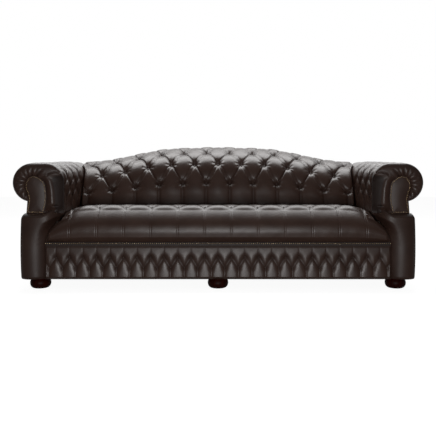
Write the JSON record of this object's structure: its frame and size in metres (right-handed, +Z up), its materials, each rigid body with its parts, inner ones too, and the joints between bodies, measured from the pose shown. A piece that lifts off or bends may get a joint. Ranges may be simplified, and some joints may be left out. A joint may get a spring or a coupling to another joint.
{
  "type": "camelback sofa",
  "caption": "Three-seat camelback sofa in dark leather, with deep-buttoned back and seat, scroll arms, nailed trim and bun feet.",
  "frame": {"origin": "on the floor, at the middle of the footprint", "axes": "+X along the seat towards the right end seen from the front, the front faces -Y, +Z up"},
  "size_m": [2.49, 0.9501, 0.872],
  "materials": {
    "leather": "aniline leather, dark brown, softly polished on the high places",
    "antique_brass": "antique brass nail heads, dulled",
    "dark_wood": "turned feet, near-black mahogany stain, satin",
    "hardwood": "planed beech, unfinished",
    "padding": "foam and fibre wadding",
    "hessian": "woven jute",
    "spring_steel": "drawn spring wire",
    "black_cloth": "non-woven dust cover"
  },
  "bodies": {
    "root": {"arm_base_left": "leather", "arm_base_right": "leather", "arm_cover_left": "leather", "arm_cover_right": "leather", "arm_facing_left": "leather", "arm_facing_right": "leather", "arm_front_board_left": "hardwood", "arm_front_board_right": "hardwood", "arm_front_border_left": "leather", "arm_front_border_right": "leather", "arm_roll_padding_left": "padding", "arm_roll_padding_right": "padding", "arm_side_padding_left": "padding", "arm_side_padding_right": "padding", "arm_tack_rail_left": "hardwood", "arm_tack_rail_right": "hardwood", "arm_top_rail_left": "hardwood", "arm_top_rail_right": "hardwood", "back_cover": "leather", "back_hessian": "hessian", "back_padding": "padding", "back_post_left": "hardwood", "back_post_right": "hardwood", "back_rail": "hardwood", "back_tack_rail": "hardwood", "back_upright_centre": "hardwood", "back_upright_left": "hardwood", "back_upright_right": "hardwood", "corner_block_front_left": "hardwood", "corner_block_front_right": "hardwood", "corner_block_rear_left": "hardwood", "corner_block_rear_right": "hardwood", "crest_rail": "hardwood", "cross_rail_centre": "hardwood", "cross_rail_left": "hardwood", "cross_rail_right": "hardwood", "dust_cover": "black_cloth", "facing_nail_trim_left": "antique_brass", "facing_nail_trim_right": "antique_brass", "foot_front_centre": "dark_wood", "foot_front_left": "dark_wood", "foot_front_right": "dark_wood", "foot_rear_centre": "dark_wood", "foot_rear_left": "dark_wood", "foot_rear_right": "dark_wood", "front_border": "leather", "front_nail_trim": "antique_brass", "front_rail": "hardwood", "outside_arm_left": "leather", "outside_arm_right": "leather", "outside_back": "leather", "seat_cover": "leather", "seat_hessian": "hessian", "seat_padding": "padding", "seat_springs": "spring_steel", "side_rail_left": "hardwood", "side_rail_right": "hardwood"}
  },
  "joints": []
}
